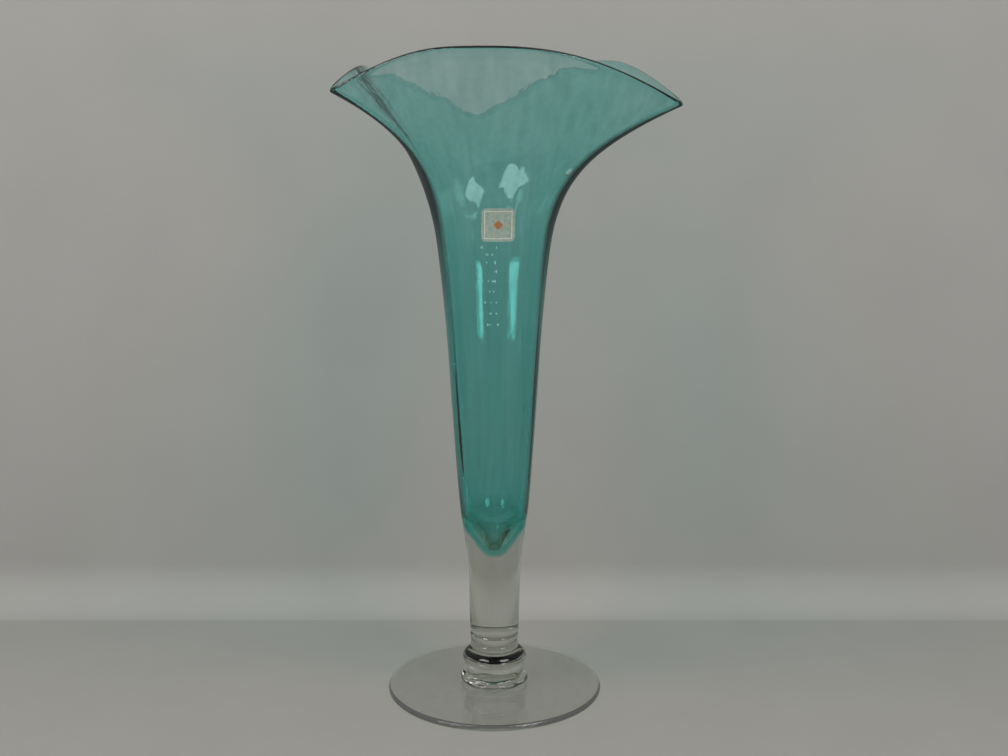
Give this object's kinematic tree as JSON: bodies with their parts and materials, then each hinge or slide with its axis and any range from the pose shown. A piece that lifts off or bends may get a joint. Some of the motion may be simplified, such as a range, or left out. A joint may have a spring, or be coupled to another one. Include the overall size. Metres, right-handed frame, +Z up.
{
  "type": "trumpet vase",
  "caption": "Tall hand-blown glass trumpet vase: a tapering bowl with a three-spouted flared mouth on a clear stem, collar and round foot.",
  "frame": {"origin": "centre of the foot's flat underside", "axes": "+Z up along the vase, -Y towards the front where the label is, +X to the front's right"},
  "size_m": [0.2089, 0.2056, 0.4209],
  "materials": {
    "teal_glass": "gloss",
    "clear_glass": "gloss",
    "label_film": "gloss"
  },
  "bodies": {
    "root": {"foot": "clear_glass", "knop": "clear_glass", "collar": "clear_glass", "neck_bead": "clear_glass", "stem": "clear_glass", "trumpet_bowl": "teal_glass", "label": "label_film"}
  },
  "joints": []
}
